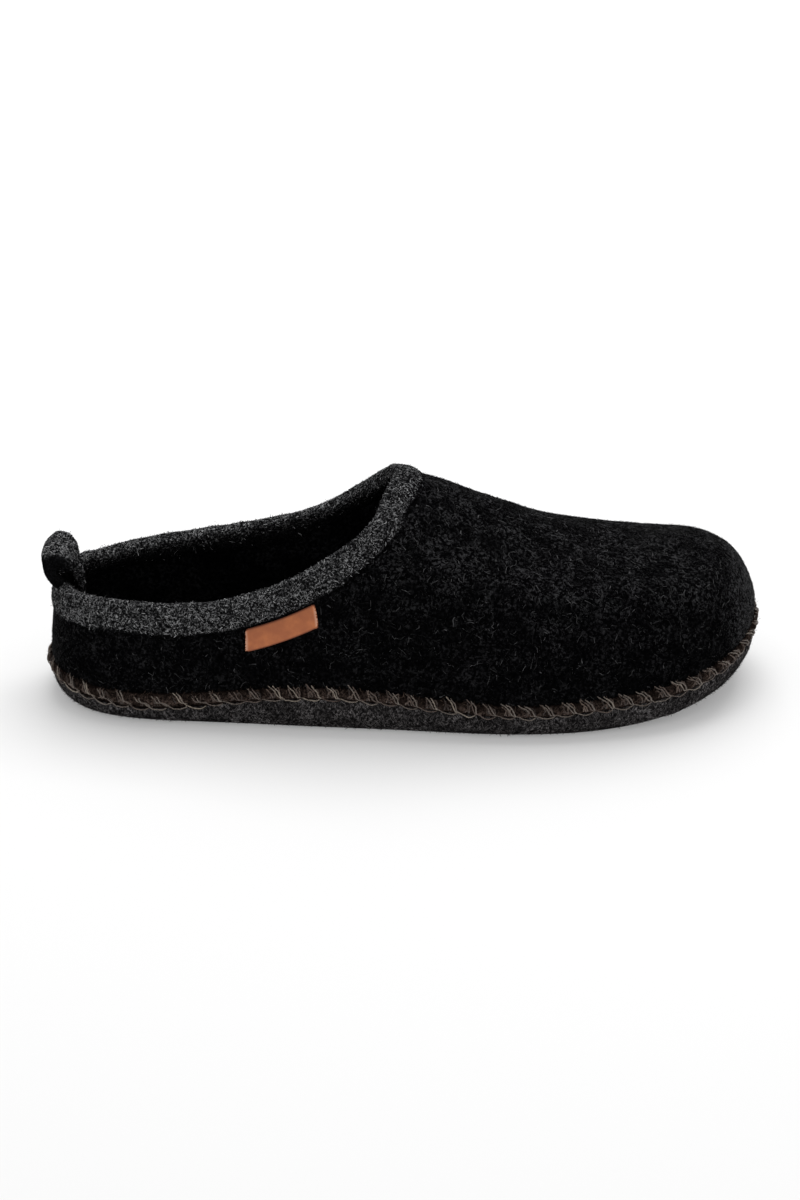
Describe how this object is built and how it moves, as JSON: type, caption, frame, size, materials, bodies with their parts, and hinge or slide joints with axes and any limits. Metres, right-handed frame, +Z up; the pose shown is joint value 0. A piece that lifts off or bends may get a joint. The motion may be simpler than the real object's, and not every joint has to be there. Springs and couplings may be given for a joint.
{
  "type": "house slipper",
  "caption": "Felt house slipper with a closed round toe, low closed back, folded collar band, heel pull loop and a moulded felt sole.",
  "frame": {"origin": "middle of the slipper's box in plan, on the floor that it stands on", "axes": "+X towards the toe, +Y towards the inner side of the foot, +Z up"},
  "size_m": [0.2826, 0.1022, 0.0917],
  "materials": {
    "black_felt": "matt boiled wool with grey fibres",
    "grey_felt": "matt heather wool felt",
    "sole_felt": "matt dense wool felt",
    "insole_felt": "matt wool felt",
    "seam_thread": "twisted taupe thread",
    "tan_leather": "smooth vegetable-tanned leather"
  },
  "bodies": {
    "root": {"sole": "sole_felt", "insole": "insole_felt", "upper": "black_felt", "seam_welt": "seam_thread", "collar_band": "grey_felt", "pull_loop": "grey_felt", "side_tag": "tan_leather"}
  },
  "joints": []
}
